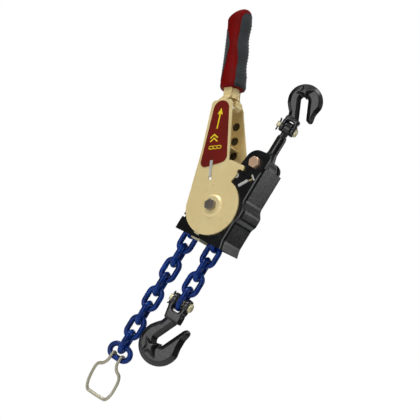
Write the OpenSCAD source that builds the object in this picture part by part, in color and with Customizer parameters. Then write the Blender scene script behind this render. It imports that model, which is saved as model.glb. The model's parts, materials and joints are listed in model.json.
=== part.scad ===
// Chain come-along: a ratchet lever, a three-pocket chain wheel in a pressed frame, and two grab hooks.
// +Z is up along the load line, the axle lies along Y and +X is the side of the frame's web.
// The origin is the seat of the top hook, where the load line starts. All lengths are millimetres.

/* [Chain] */
// Diameter of the chain's wire
chain_wire = 10; // [8:0.5:11]
// Pitch of the chain, from inside end to inside end of a link
chain_pitch = 30; // [28:0.5:34]
// Inside width of a link
chain_inner_width = 14; // [13:0.5:16]
// Play between two links when the chain hangs straight
chain_play = 0.6; // [0.3:0.1:1]
// Turn of the hanging falls about the load line
chain_twist = 18; // [0:1:25]
// Links of the tail fall
tail_links = 11; // [6:1:13]
// Links of the load fall
load_links = 6; // [4:2:8]

/* [Frame] */
// Depth of the frame over its two plates
frame_depth = 60; // [58:1:70]
// Thickness of the frame's steel
frame_plate = 4; // [3:0.5:5]
// Outer radius of the fold between plate and web
frame_fold = 6; // [4.5:0.5:8]
// Height of the pivot bolt below the hook's seat
pivot_drop = 139; // [130:1:150]
// Height of the axle below the pivot bolt
axle_drop = 104; // [100:1:112]
// Height of the frame's open bottom below the axle
mouth_drop = 60; // [57:1:70]
// Slant of the mouth's edge, lower on the tail's side
mouth_slant = 4.7; // [0:0.1:6]
// Radius of the front plate round the pivot bolt
crown_radius = 23.5; // [21:0.5:27]
// Radius of the rear plate round the pivot bolt
rear_crown_radius = 17; // [16:0.5:20]
// Radius of the plates round the axle, inside the ratchet teeth
plate_radius = 44; // [40:0.5:45]

/* [Ratchet] */
// Teeth of each ratchet wheel
teeth = 11; // [11:1:11]
// Radius over the teeth
tip_radius = 47.5; // [46:0.5:49]
// Radius at the foot of the teeth
root_radius = 39.5; // [36:0.5:40]
// Thickness of each ratchet wheel
ratchet_plate = 5; // [3:0.5:5.5]
// Thickness of the two sliding pawls
pawl_plate = 5; // [3:0.5:5]
// Distance of the pawls' middle planes from the axle
pawl_offset = 10; // [8:0.5:12]
// Travel of the drive pawl
pawl_travel = 6.8; // [5:0.1:8]
// Slant of the holding pawl away from the load line
hold_slant = 34.7; // [30:0.1:38]

/* [Lever] */
// Slant of the lever away from the load line
lever_slant = 30.5; // [25:0.5:35]
// Thickness of the lever's steel
lever_plate = 3; // [2:0.5:4]
// Radius of the cheeks' round end
cheek_radius = 54; // [51:0.5:56]
// Distance from the axle to the cheeks' shoulders
cheek_length = 200; // [185:1:215]
// Length of the neck between the cheeks and the grip
neck_length = 31; // [28:0.5:40]
// Length of the grip
grip_length = 155; // [130:1:175]
// Width of the grip at its waist
grip_width = 43; // [38:1:48]

/* [Shafts and bolts] */
// Diameter of the axle
axle_d = 14; // [12:0.5:14.5]
// Diameter of the pivot bolt
pivot_d = 12; // [10:0.5:13]
// Radial clearance of a running fit
running_gap = 0.05; // [0.02:0.01:0.1]
// Clearance between plates that slide or lie beside each other
side_gap = 0.3; // [0.2:0.05:0.5]

/* [Hooks] */
// Diameter of the shank's bar
shank_d = 18; // [14:0.5:20]
// Distance from the top hook's pin to its seat
top_reach = 58; // [54:1:64]
// Turn of the top hook about the load line
top_twist = 27; // [0:1:35]
// Width of the load hook's slot
slot_width = 15; // [13:0.5:16]
// Lean of the slot away from the load line
slot_lean = 25; // [15:1:32]

/* [Pull ring] */
// Diameter of the ring's wire
ring_wire = 5; // [3:0.5:6]
// Width of the ring
ring_width = 57; // [50:1:64]
// Height of the ring
ring_height = 72; // [60:1:80]

/* [Hidden] */
$fn = 48;

black = "#1b1c1e";
zinc = "#b9bcc0";
gold = "#c9b27c";
blue = "#1747a8";

// Chain: a link's centre line is two half circles and two straights
link_inside = chain_pitch + chain_play;
link_bend = (chain_inner_width + chain_wire) / 2;
link_straight = link_inside + chain_wire - 2 * link_bend;
link_outer_width = chain_inner_width + 2 * chain_wire;
// Where the links turn on each other: the flat link's end wires
flat_reach = (chain_pitch + chain_wire) / 2;
upright_reach = (chain_pitch - chain_wire) / 2;
half_pocket = atan(sin(60) / (cos(60) + upright_reach / flat_reach));
wheel_reach = flat_reach / sin(half_pocket);
pivot_angle = 60 - half_pocket;
fall_angle = 2 * half_pocket + pivot_angle - 90;
fall_offset = wheel_reach * cos(fall_angle);

// Places in the plane of the load line
pivot_z = -pivot_drop;
axle_z = pivot_z - axle_drop;
axle_x = -fall_offset;
first_z = axle_z - wheel_reach * sin(fall_angle) - upright_reach;
mouth_z = axle_z - mouth_drop;
tail_x = axle_x - fall_offset;

function link_z(i) = first_z - (i - 1) * chain_pitch;
// Links inside the frame stay square with it, the ones that hang below are turned
function link_twist(i) = i < 3 ? 0 : i == 3 ? chain_twist / 2 : chain_twist;

// Depths on either side of the middle plane
plate_out = frame_depth / 2;
plate_in = plate_out - frame_plate;
wheel_gap = 0.7;
ratchet_out = plate_in - wheel_gap;
ratchet_in = ratchet_out - ratchet_plate;
wheel_half = ratchet_in - side_gap;
cheek_in = plate_out + 1;
cheek_out = cheek_in + lever_plate;
boss_height = 2.5;
boss_radius = 18;
boss_out = cheek_out + boss_height;

// Plane helpers: drawings are made in the X-Z plane and given their depth along Y
module at_plane() {
    rotate([90, 0, 0]) children();
}
module deep(low, high) {
    translate([0, 0, low]) linear_extrude(high - low) children();
}
module both_sides() {
    children();
    mirror([0, 0, 1]) children();
}
module at_axle() {
    translate([axle_x, axle_z, 0]) children();
}
module at_pivot() {
    translate([0, pivot_z, 0]) children();
}
// The lever's own frame: Y runs along the lever, X across it towards the shank
module at_lever() {
    at_plane() at_axle() rotate([0, 0, lever_slant]) children();
}
module at_hold() {
    at_plane() at_axle() rotate([0, 0, -hold_slant]) children();
}
module hex(across, height) {
    cylinder(d = across / cos(30), h = height, $fn = 6);
}
module ring_pin(outer, inner, height) {
    difference() {
        cylinder(d = outer, h = height);
        translate([0, 0, -1]) cylinder(d = inner, h = height + 2);
    }
}

// ---------------------------------------------------------------- housing
// The web's line as straights and bends; a positive turn is towards +X
web_top = [24.5, -127];
web_rear_top = -138;
web_run = [
    ["line", 76], ["turn", 14, 40], ["line", 4.6], ["turn", 14, -40],
    ["line", 9.5], ["turn", 14, -28], ["line", 2.6], ["turn", 14, 28],
    ["line", 33.6], ["turn", 16, 18], ["line", 18]
];
web_overlap = 2;
fold_skirt = frame_fold + web_overlap;

function dir(a) = [cos(a), sin(a)];
function left_of(a) = [-sin(a), cos(a)];
function run_end(p, a, s) =
    s[0] == "line" ? [p + s[1] * dir(a), a]
    : let (side = sign(s[2]), c = p + side * s[1] * left_of(a)) [c - side * s[1] * left_of(a + s[2]), a + s[2]];
// Stations along the web's line, each a point and a heading
function stations(p, a, run, i = 0) =
    i == len(run) ? [[p, a]]
    : let (s = run[i], e = run_end(p, a, s), steps = s[0] == "line" ? 1 : 5)
      concat(
        [for (k = [0:steps - 1])
            let (b = s[0] == "line" ? a : a + s[2] * k / steps,
                 side = s[0] == "line" ? 1 : sign(s[2]))
            [s[0] == "line" ? p : p + side * s[1] * (left_of(a) - left_of(b)), b]],
        stations(e[0], e[1], run, i + 1));
web_stations = stations(web_top, -90, web_run);
function round_corner(c, r, from, to, steps) =
    [for (k = [0:steps]) let (b = from + (to - from) * k / steps) c + r * [cos(b), sin(b)]];

// The folded edge's section: an outer and an inner line of as many points, a short skirt of each plate at the ends
inner_fold = frame_fold - frame_plate;
fold_center = plate_out - frame_fold;
fold_outer = concat(
    [[-fold_skirt, -plate_out]],
    round_corner([-frame_fold, -fold_center], frame_fold, -90, 0, 5),
    round_corner([-frame_fold, fold_center], frame_fold, 0, 90, 5),
    [[-fold_skirt, plate_out]]
);
fold_inner = concat(
    [[-fold_skirt, -plate_in]],
    round_corner([-frame_fold, -fold_center], inner_fold, -90, 0, 5),
    round_corner([-frame_fold, fold_center], inner_fold, 0, 90, 5),
    [[-fold_skirt, plate_in]]
);
module folded_web() {
    n = len(fold_outer);
    m = len(web_stations);
    row = 2 * n;
    points = [for (s = web_stations, q = concat(fold_outer, fold_inner))
        let (p = s[0] + q[0] * left_of(s[1])) [p[0], p[1], q[1]]];
    function around(k) = k < n ? k : row - 1 - (k - n);
    walls = [for (i = [0:m - 2], k = [0:row - 1])
        let (a = i * row + around(k), b = i * row + around((k + 1) % row))
        each [[a, a + row, b + row], [a, b + row, b]]];
    first = [for (k = [0:n - 2]) each [[k, k + 1, n + k + 1], [k, n + k + 1, n + k]]];
    last = (m - 1) * row;
    end = [for (f = first) [last + f[2], last + f[1], last + f[0]]];
    polyhedron(points = points, faces = concat(walls, first, end));
}
module below_mouth() {
    translate([0, mouth_z]) rotate(mouth_slant) translate([-200, -60]) square([400, 60]);
}
module plate_outline(crown, corner) {
    edge = [for (s = web_stations) s[0] - (fold_skirt - 1) * left_of(s[1])];
    mouth_left = tail_x - link_outer_width / 2;
    difference() {
        union() {
            hull() {
                translate([0, pivot_z]) circle(r = crown, $fn = 96);
                if (corner) translate([web_top[0] - 10, pivot_z + 16]) circle(r = 9, $fn = 64);
            }
            translate([axle_x, axle_z]) circle(r = plate_radius, $fn = 96);
            polygon(concat(
                [[-crown, pivot_z], [web_top[0] - fold_skirt + 1, corner ? web_top[1] + 1 : web_rear_top - 1]],
                [for (e = edge) if (e[1] < web_rear_top - 4) e],
                [[edge[len(edge) - 1][0], mouth_z - 14], [mouth_left, mouth_z - 14], [mouth_left, mouth_z + 13],
                 [mouth_left + 2, mouth_z + 37], [axle_x - 30, axle_z - 16], [axle_x, axle_z + 10],
                 [axle_x - 3, axle_z + plate_radius - 1]]
            ));
        }
        translate([mouth_left - 4, mouth_z + 18]) square([10, 4]);
        below_mouth();
    }
}
// Opening of a pawl's ear, along its own slide
module ear_slot(start, length) {
    clear = side_gap;
    translate([-pawl_offset - pawl_plate / 2 - clear, start - clear])
        square([pawl_plate + 2 * clear, length + 2 * clear]);
}
hold_ear_start = 58.5;
hold_ear = 20;
hold_travel = 8;
seat_start = 88;
seat_plate = 3;
guide_tenon = [12, 6];
module housing() {
    color(black) difference() {
        at_plane() difference() {
            union() {
                deep(plate_in, plate_out) plate_outline(crown_radius, true);
                mirror([0, 0, 1]) deep(plate_in, plate_out) plate_outline(rear_crown_radius, false);
                difference() {
                    folded_web();
                    // the web stops lower behind its front fold
                    translate([0, web_rear_top, -plate_out - 1]) cube([60, 40, frame_depth - frame_fold]);
                }
            }
            at_pivot() translate([0, 0, -plate_out - 1]) cylinder(r = pivot_d / 2 + running_gap, h = frame_depth + 2);
            at_axle() translate([0, 0, -plate_out - 1]) cylinder(r = axle_d / 2 + running_gap, h = frame_depth + 2);
            translate([cross_pin_at[0], cross_pin_at[1], -plate_out - 1])
                cylinder(r = cross_pin_d / 2 + running_gap, h = frame_depth + 2);
            both_sides() deep(plate_in - 1, plate_out + 1) {
                translate([axle_x, axle_z]) rotate(-hold_slant) {
                    ear_slot(hold_ear_start, hold_ear + hold_travel);
                    translate([-pawl_offset - 6, seat_start - 0.1]) square([12, seat_plate + 0.2]);
                }
                translate([axle_x - guide_tenon[0] / 2 - 0.1, mouth_z + 3 - 0.1])
                    square([guide_tenon[0] + 0.2, guide_tenon[1] + 0.2]);
            }
        }
        at_plane() deep(-frame_depth, frame_depth) below_mouth();
    }
}
cross_pin_at = [-21, -175];
cross_pin_d = 10;
module cross_pin() {
    color(zinc) at_plane() translate([cross_pin_at[0], cross_pin_at[1], -plate_out - 0.4])
        cylinder(d = cross_pin_d, h = frame_depth + 0.8);
}
module spring_seat() {
    color(zinc) at_hold() {
        deep(-plate_in + side_gap, plate_in - side_gap)
            translate([-pawl_offset - 8, seat_start]) square([15.5, seat_plate]);
        deep(-plate_out - 0.5, plate_out + 0.5)
            translate([-pawl_offset - 5.9, seat_start]) square([11.8, seat_plate]);
    }
}
module chain_guide() {
    half = chain_pitch - link_outer_width / 2 - 2.5;
    foot = mouth_z - 6;
    color("#9a7a3c") at_plane() {
        // fin that lifts the links out of the wheel's groove
        deep(-chain_wire / 2 + 0.5, chain_wire / 2 - 0.5) difference() {
            polygon([[axle_x - half, foot + 6], [axle_x - half, axle_z - 32], [axle_x - 6, axle_z - 12],
                     [axle_x + 6, axle_z - 12], [axle_x + half, axle_z - 32], [axle_x + half, foot + 6]]);
            translate([axle_x, axle_z]) circle(r = groove_radius + 1.2);
        }
        deep(-plate_in + side_gap, plate_in - side_gap) difference() {
            translate([axle_x - half, foot]) square([2 * half, 16]);
            translate([axle_x, axle_z]) circle(r = tip_radius + 1);
        }
        deep(-plate_out - 0.4, plate_out + 0.4)
            translate([axle_x - guide_tenon[0] / 2, mouth_z + 3]) square(guide_tenon);
    }
}

// ---------------------------------------------------------------- pivot bolt and shank
hook_reach = 76;
eye_half = 15;
pivot_hex = 19;
module pivot_bolt() {
    color("#c8916a") at_plane() at_pivot() {
        translate([0, 0, -plate_out - 13]) cylinder(d = pivot_d, h = frame_depth + 13);
        translate([0, 0, plate_out]) intersection() {
            hex(pivot_hex, 7);
            union() {
                cylinder(r = pivot_hex, h = 5.6);
                translate([0, 0, 5.5]) cylinder(r1 = pivot_hex * 0.58, r2 = pivot_hex * 0.47, h = 1.5);
            }
        }
    }
}
module pivot_nut() {
    color(zinc) at_plane() at_pivot() translate([0, 0, -plate_out - 10.5]) difference() {
        hex(pivot_hex, 10.5);
        translate([0, 0, -1]) cylinder(r = pivot_d / 2 + running_gap, h = 14);
    }
}
module pivot_spacers() {
    color(zinc) at_plane() at_pivot() both_sides() translate([0, 0, eye_half + side_gap])
        ring_pin(24, pivot_d + 2 * running_gap, plate_in - eye_half - 2 * side_gap);
}
top_pin_d = 10;
top_pin_z = -top_reach;
top_ear = 8;
top_gap = 12.8;
top_share = top_reach / hook_reach;
module shank() {
    lower_eye = 19.5;
    upper_eye = 12.5;
    upper_half = (top_gap - 2 * side_gap) / 2;
    color(black) difference() {
        union() {
            translate([0, 0, pivot_z]) rotate([90, 0, 0]) translate([0, 0, -eye_half])
                rotate_extrude($fn = 64) polygon([[0, 0], [lower_eye - 3, 0], [lower_eye, 3],
                    [lower_eye, 2 * eye_half - 3], [lower_eye - 3, 2 * eye_half], [0, 2 * eye_half]]);
            translate([0, 0, pivot_z + 8]) cylinder(d = shank_d, h = pivot_drop - top_reach - 8 - 20);
            translate([0, 0, pivot_z + 10]) cylinder(r1 = 14.5, r2 = shank_d / 2, h = 20);
            translate([0, 0, top_pin_z - 20]) cylinder(d1 = shank_d, d2 = 11, h = 12);
            rotate([0, 0, top_twist]) translate([-upper_half, 0, top_pin_z]) rotate([0, 90, 0])
                cylinder(r = upper_eye, h = 2 * upper_half, $fn = 64);
        }
        translate([0, 0, pivot_z]) rotate([90, 0, 0]) translate([0, 0, -eye_half - 1])
            cylinder(r = pivot_d / 2 + running_gap, h = 2 * eye_half + 2);
        rotate([0, 0, top_twist]) translate([-upper_half - 1, 0, top_pin_z]) rotate([0, 90, 0])
            cylinder(r = top_pin_d / 2 + running_gap, h = 2 * upper_half + 2);
        // flats that let the bar's end enter the clevis
        for (s = [-1, 1]) rotate([0, 0, top_twist]) translate([s * (upper_half + 10), 0, top_pin_z - 3])
            cube([20, 40, 26], center = true);
    }
}

// ---------------------------------------------------------------- grab hooks
// A clevis grab hook at the load hook's size: its pin lies along X at the origin, the bulb hangs below
bulb_ring = 26;
bulb_wire = 12;
module bar(a, b, ra, rb) {
    v = b - a;
    n = norm(v);
    translate(a) rotate([0, acos(v[2] / n), atan2(v[1], v[0])]) {
        cylinder(r1 = ra, r2 = rb, h = n);
        sphere(r = ra);
        translate([0, 0, n]) sphere(r = rb);
    }
}
module hook_body(ear_gap, ear, pin_d, slot, side) {
    seat = [side, 0, -hook_reach];
    tip = seat + [bulb_ring - 1, 0, 0] + 40 * [sin(slot_lean - 16), 0, cos(slot_lean - 16)];
    neck = seat + bulb_ring * [cos(150), 0, sin(150)];
    outer = ear_gap / 2 + ear;
    difference() {
        union() {
            // the heavy rim, from the neck round the bottom to the tip
            translate(seat) rotate([90, 0, 0]) rotate([0, 0, 150]) rotate_extrude(angle = 215, $fn = 64)
                translate([bulb_ring, 0]) circle(r = bulb_wire);
            bar(seat + bulb_ring * [cos(5), 0, sin(5)], tip, bulb_wire, 7.5);
            bar(neck, [-3, 0, -24], bulb_wire, 11.5);
            // the thinner web that holds the slot
            translate(seat) rotate([90, 0, 0]) translate([0, 0, -7]) cylinder(r = bulb_ring + 4, h = 14, $fn = 64);
            translate([-2, 0, -2]) rotate([90, 0, 0]) translate([0, 0, -7]) linear_extrude(14)
                polygon([[-14, -56], [-10, -18], [12, -18], [6, -56]]);
            // the clevis
            translate([0, 0, -26]) cylinder(r = 12.5, h = 8);
            for (s = [-1, 1]) translate([s * (ear_gap / 2 + ear / 2), 0, 0]) {
                rotate([0, 90, 0]) translate([0, 0, -ear / 2]) cylinder(r = 13, h = ear);
                translate([-ear / 2, -11, -22]) cube([ear, 22, 22]);
            }
            translate([-outer, -11, -28]) cube([2 * outer, 22, 9.6]);
        }
        translate([-outer - 1, 0, 0]) rotate([0, 90, 0]) cylinder(r = pin_d / 2 + running_gap, h = 2 * outer + 2);
        // the slot, with a flared mouth
        translate(seat) rotate([0, slot_lean, 0]) rotate([90, 0, 0]) translate([0, 0, -20]) {
            cylinder(d = slot, h = 40);
            translate([-slot / 2, 0, 0]) cube([slot, 80, 40]);
        }
        rotate([0, 90, 0]) translate([0, 0, -ear_gap / 2]) cylinder(r = 17.8, h = ear_gap);
    }
}
module hook_pin(ear_gap, ear, pin_d) {
    outer = ear_gap / 2 + ear;
    rotate([0, 90, 0]) translate([0, 0, -outer - 7]) difference() {
        union() {
            cylinder(d = pin_d, h = 2 * outer + 7 + 0.2);
            translate([0, 0, 2 * outer + 7 + 0.2]) rotate_extrude() polygon([[0, 0], [pin_d * 0.75, 0],
                [pin_d * 0.75, 2.5], [pin_d * 0.55, 4.5], [0, 5]]);
        }
        translate([-pin_d, 0, 3.5]) rotate([0, 90, 0]) cylinder(d = 3.3, h = 2 * pin_d);
    }
}
module split_pin(ear_gap, ear, pin_d) {
    outer = ear_gap / 2 + ear;
    leg = pin_d * 0.7;
    translate([-outer - 3.5, 0, 0]) {
        translate([0, 0, -leg]) cylinder(d = 3, h = 2 * leg);
        translate([0, 0, leg + 1.6]) rotate([0, 90, 0]) rotate_extrude() translate([2.4, 0]) circle(d = 2.2);
        for (s = [-1, 1]) bar([0, 0, -leg], [-1, s * 4.5, -leg - 3.5], 1.2, 1.2);
    }
}
module top_place() {
    translate([0, 0, top_pin_z]) rotate([0, 0, top_twist]) rotate([180, 0, 0]) children();
}
// The top hook's slot bottom is the part's origin
module top_hook() {
    k = top_share;
    color(black) top_place() scale(k) hook_body(top_gap / k, top_ear / k, top_pin_d / k, slot_width, 0);
}
module top_hook_pin() {
    color(gold) top_place() hook_pin(top_gap, top_ear, top_pin_d);
}
module top_split_pin() {
    color(zinc) top_place() split_pin(top_gap, top_ear, top_pin_d);
}
load_pin_d = 12;
load_gap = chain_wire + 5;
load_ear = 10;
load_pin_z = link_z(load_links) - link_inside / 2 + load_pin_d / 2 + side_gap;
module load_place() {
    translate([0, 0, load_pin_z]) rotate([0, 0, chain_twist]) children();
}
module load_hook() {
    color(black) load_place() hook_body(load_gap, load_ear, load_pin_d, slot_width, 4);
}
module load_hook_pin() {
    color(gold) load_place() hook_pin(load_gap, load_ear, load_pin_d);
}
module load_split_pin() {
    color(zinc) load_place() split_pin(load_gap, load_ear, load_pin_d);
}

// ---------------------------------------------------------------- axle and wheel
module axle_bolt() {
    color(gold) at_plane() at_axle() {
        translate([0, 0, -boss_out - 12]) cylinder(d = axle_d, h = 2 * boss_out + 12);
        translate([0, 0, boss_out + 0.2]) hex(19, 6.5);
        translate([0, 0, boss_out - 0.5]) cylinder(d = axle_d, h = 1);
    }
}
module axle_nut() {
    color(zinc) at_plane() at_axle() translate([0, 0, -boss_out - 9]) difference() {
        hex(21, 8.8);
        translate([0, 0, -1]) cylinder(r = axle_d / 2 + running_gap, h = 12);
    }
}
module axle_washers() {
    gap = cheek_in - plate_out;
    color(zinc) at_plane() at_axle() both_sides() {
        translate([0, 0, plate_out + 0.1]) ring_pin(30, axle_d + 2 * running_gap, gap - 0.2);
    }
}
bush_wall = 3;
groove_radius = 11.5;
groove_half = chain_wire / 2 + 1.25;
module wheel_bushes() {
    color("#a87a3a") at_plane() at_axle() both_sides() translate([0, 0, groove_half + 2])
        ring_pin(axle_d + 2 * bush_wall, axle_d + 2 * running_gap, plate_in - side_gap - groove_half - 2);
}
module link_outline(clear) {
    w = link_outer_width + 2 * clear;
    l = link_inside + 2 * chain_wire + 2 * clear;
    for (s = [-1, 1]) translate([s * (l - w) / 2, 0]) circle(d = w);
    translate([-(l - w) / 2, -w / 2]) square([l - w, w]);
}
module chain_wheel() {
    rim = wheel_reach - 0.5;
    floor_r = flat_reach / tan(half_pocket) - chain_wire / 2 - 0.3;
    hub = 36;
    color("#6e6f72") at_plane() at_axle() difference() {
        union() {
            translate([0, 0, -wheel_half]) cylinder(r = rim, h = 2 * wheel_half, $fn = 96);
            translate([0, 0, -ratchet_out]) cylinder(d = hub / cos(30), h = 2 * ratchet_out, $fn = 6);
        }
        translate([0, 0, -groove_half]) ring_pin(2 * rim + 2, 2 * groove_radius, 2 * groove_half);
        for (a = [30, 150, 270]) rotate([0, 0, a]) translate([floor_r, 0, 0]) rotate([90, 0, 90])
            linear_extrude(30) link_outline(0.7);
        both_sides() translate([0, 0, groove_half + 2 - side_gap])
            cylinder(r = axle_d / 2 + bush_wall, h = 40);
        translate([0, 0, -wheel_half]) cylinder(r = axle_d / 2 + 0.3, h = 2 * wheel_half);
    }
}
// One tooth: an even rise from root to tip, then a radial face
tooth_pitch = 360 / teeth;
face_angle = 90 - hold_slant + asin((pawl_offset + pawl_plate / 2) / root_radius) + 0.3;
module ratchet_wheel() {
    steps = 3;
    difference() {
        linear_extrude(ratchet_plate) difference() {
            polygon([for (k = [0:teeth - 1], j = [0:steps])
                let (a = face_angle + (k + 1) * tooth_pitch - (steps - j) / steps * tooth_pitch,
                     r = tip_radius + (root_radius - tip_radius) * j / steps)
                [r * cos(a), r * sin(a)]]);
            circle(d = (36 + 0.2) / cos(30), $fn = 6);
        }
    }
}
module front_ratchet() {
    color("#77787b") at_plane() at_axle() translate([0, 0, ratchet_in]) ratchet_wheel();
}
module rear_ratchet() {
    color("#77787b") at_plane() at_axle() translate([0, 0, -ratchet_out]) ratchet_wheel();
}

// ---------------------------------------------------------------- pawls
hold_nose = root_radius + 2.3;
drive_nose = tip_radius + 0.6;
drive_ear = 29;
drive_ear_start = drive_nose + 8;
hold_body_top = 66;
hold_ear_in = 19;
// The space that the upright links need between the two halves of a pawl's nose
pawl_notch = [7.5, 8.5];
module pawl_blade(nose, top) {
    translate([0, nose]) square([pawl_plate, top - nose]);
}
module notch(nose) {
    deep(-pawl_notch[0], pawl_notch[0]) translate([-1, nose - 1]) square([pawl_plate + 2, pawl_notch[1] + 1]);
}
module holding_pawl() {
    color(zinc) at_hold() translate([-pawl_offset - pawl_plate / 2, 0, 0]) {
        difference() {
            deep(-plate_in + side_gap, plate_in - side_gap) pawl_blade(hold_nose, hold_body_top);
            notch(hold_nose);
        }
        both_sides() deep(hold_ear_in, plate_out + 2)
            translate([0, hold_ear_start]) square([pawl_plate, hold_ear]);
    }
}
module drive_pawl() {
    top = drive_ear_start + drive_ear;
    color(zinc) at_lever() {
        translate([-pawl_offset - pawl_plate / 2, 0, 0]) {
            difference() {
                deep(-plate_in + side_gap, plate_in - side_gap) pawl_blade(drive_nose, drive_ear_start + 1);
                notch(drive_nose);
            }
            deep(-cheek_out - 1.5, cheek_out + 1.5)
                translate([0, drive_ear_start]) square([pawl_plate, drive_ear]);
        }
        translate([-pawl_offset, top - 3, 0]) rotate([-90, 0, 0]) cylinder(d = pull_rod_d, h = pull_top + 3 - top + 3);
    }
}
pull_rod_d = 5;
pull_top = cheek_length - 10;
module finger_pull() {
    hook = [4, pull_top + 10];
    color(gold) at_lever() difference() {
        deep(-9, 9) {
            translate([-pawl_offset - 4, pull_top - 1]) square([18, 3]);
            translate(hook) difference() {
                intersection() {
                    circle(r = 11);
                    translate([0, -11]) square([11, 16]);
                }
                circle(r = 8);
            }
        }
        translate([-pawl_offset, pull_top - 5, 0]) rotate([-90, 0, 0]) cylinder(r = pull_rod_d / 2 + running_gap, h = 12);
    }
}
// A round-wire compression spring along +Z of its own frame, as one swept tube
module coil(radius, wire, height, turns) {
    sides = 6;
    rings = 8 * turns;
    function ring(i) = let (a = 360 * turns * i / rings, z = wire / 2 + (height - wire) * i / rings)
        [for (k = [0:sides - 1]) let (b = 360 * k / sides, r = radius + wire / 2 * cos(b))
            [r * cos(a), r * sin(a), z + wire / 2 * sin(b)]];
    points = [for (i = [0:rings]) each ring(i)];
    walls = [for (i = [0:rings - 1], k = [0:sides - 1]) let (
        p = i * sides + k, q = i * sides + (k + 1) % sides) each [[p, q, q + sides], [p, q + sides, p + sides]]];
    low = [for (k = [1:sides - 2]) [0, k + 1, k]];
    top = rings * sides;
    high = [for (k = [1:sides - 2]) [top, top + k, top + k + 1]];
    echo(least_gap = (height - wire) / turns - wire);
    polyhedron(points = points, faces = concat(
        [for (f = walls) [f[0], f[2], f[1]]], [for (f = low) [f[0], f[2], f[1]]], [for (f = high) [f[0], f[2], f[1]]]));
}
bracket_at = cheek_length - 78;
module drive_spring() {
    low = drive_ear_start + drive_ear + side_gap;
    color(zinc) at_lever() translate([-pawl_offset, low, 0]) rotate([-90, 0, 0])
        coil(5.2, 2, bracket_at - low - side_gap, 8);
}
module holding_springs() {
    low = hold_body_top + side_gap;
    color(zinc) at_hold() for (y = [-12, 12]) translate([-pawl_offset, low, y]) rotate([-90, 0, 0])
        coil(3.2, 1.2, seat_start - low - side_gap, 5);
}

// ---------------------------------------------------------------- lever
lever_left = -22;
nose_at = [54.4, 66.2];
module cheek_outline(right) {
    left_foot = -cheek_radius + 1.2;
    difference() {
        union() {
            circle(r = cheek_radius, $fn = 128);
            polygon([[left_foot, 10], [lever_left - 12, 105], [lever_left, cheek_length - 4], [lever_left + 4, cheek_length],
                     [right - 4, cheek_length], [right, cheek_length - 4], [25, 86], [30, 40], [0, 0]]);
            // the hooked nose
            difference() {
                translate([20, 40]) circle(r = 43.5, $fn = 96);
                translate([-60, -20]) square([82, 120]);
                polygon([[22, -10], [35.5, 43.5], [52, 62.5], [60, 60], [75, 60], [75, -10]]);
            }
            hull() {
                translate(nose_at) circle(r = 4.6);
                translate([41, 68]) circle(r = 8);
            }
        }
        translate([49.6, 59.3]) circle(r = 4.4);
        // the step of the round end on the web's side
        translate([0, 0]) rotate(-40) translate([cheek_radius - 3, -60]) square([10, 28]);
    }
}
module cheek_slot(clear) {
    start = drive_ear_start - pawl_travel;
    translate([-pawl_offset - pawl_plate / 2 - clear, start - clear])
        square([pawl_plate + 2 * clear, drive_ear + pawl_travel + 2 * clear]);
}
neck_out = 16;
neck_width = 16;
lever_length = cheek_length + neck_length + grip_length;
tube_start = cheek_length + 12;
tube_top = lever_length - 12;
neck_foot = cheek_length + 16;
grip_start = cheek_length + neck_length;
neck_top = grip_start + 12;
handle_x = -4;
module lever_body() {
    web_low = 90;
    color(gold) at_lever() difference() {
        union() {
            deep(cheek_in, cheek_out) cheek_outline(20);
            mirror([0, 0, 1]) deep(cheek_in, cheek_out) cheek_outline(4);
            both_sides() translate([0, 0, cheek_out - 0.01])
                cylinder(r1 = boss_radius + 3, r2 = boss_radius - 1, h = boss_height);
            // the web on the back of the channel
            deep(-cheek_in - 1, cheek_in + 1) polygon([
                [lever_left - 14.5 - 1, web_low - 5], [lever_left - 0.5, cheek_length - 4],
                [lever_left + lever_plate, cheek_length - 4], [lever_left - 14.5 + lever_plate, web_low - 5]]);
            // the cheeks' ends, bent in to the handle's tube
            both_sides() translate([handle_x - neck_width / 2, 0, 0]) rotate([0, 90, 0]) rotate([0, 0, 90])
                linear_extrude(neck_width) polygon([
                    [cheek_length - 8, cheek_in], [cheek_length - 8, cheek_out], [cheek_length, cheek_out],
                    [neck_foot, neck_out], [neck_top, neck_out], [neck_top, neck_out - lever_plate],
                    [neck_foot - 1, neck_out - lever_plate], [cheek_length - 1, cheek_in]]);
        }
        translate([0, 0, -boss_out - 1]) cylinder(r = axle_d / 2 + running_gap, h = 2 * boss_out + 2);
        deep(-boss_out, boss_out) cheek_slot(side_gap);
        // lightening holes of the rear cheek
        for (u = [116, 144, 172]) translate([-8, u, -cheek_out - 1]) cylinder(r = 8, h = lever_plate + 2);
    }
}
module label_plate() {
    color("#a01218") at_lever() deep(cheek_out + 0.05, cheek_out + 0.85) difference() {
        hull() {
            translate([-1, cheek_length - 17.5]) circle(r = 16, $fn = 40);
            translate([-22.5, 83.5]) circle(r = 10, $fn = 32);
            translate([8.5, 92]) circle(r = 12.5, $fn = 40);
        }
        cheek_slot(1);
    }
}
module spring_bracket() {
    color(gold) at_lever() {
        difference() {
            deep(-cheek_in + 0.1, cheek_in - 0.1) translate([-pawl_offset - 12, bracket_at]) square([24, lever_plate]);
            translate([-pawl_offset, bracket_at - 5, 0]) rotate([-90, 0, 0])
                cylinder(r = pull_rod_d / 2 + side_gap, h = 12);
        }
    }
}
module handle_tube() {
    color(gold) at_lever() translate([handle_x, tube_start, 0]) rotate([-90, 0, 0]) difference() {
        cylinder(d = 2 * (neck_out - lever_plate) - 0.2, h = tube_top - tube_start);
        translate([0, 0, -1]) cylinder(d = 2 * (neck_out - 2 * lever_plate), h = tube_top - tube_start - 6);
    }
}
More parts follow.
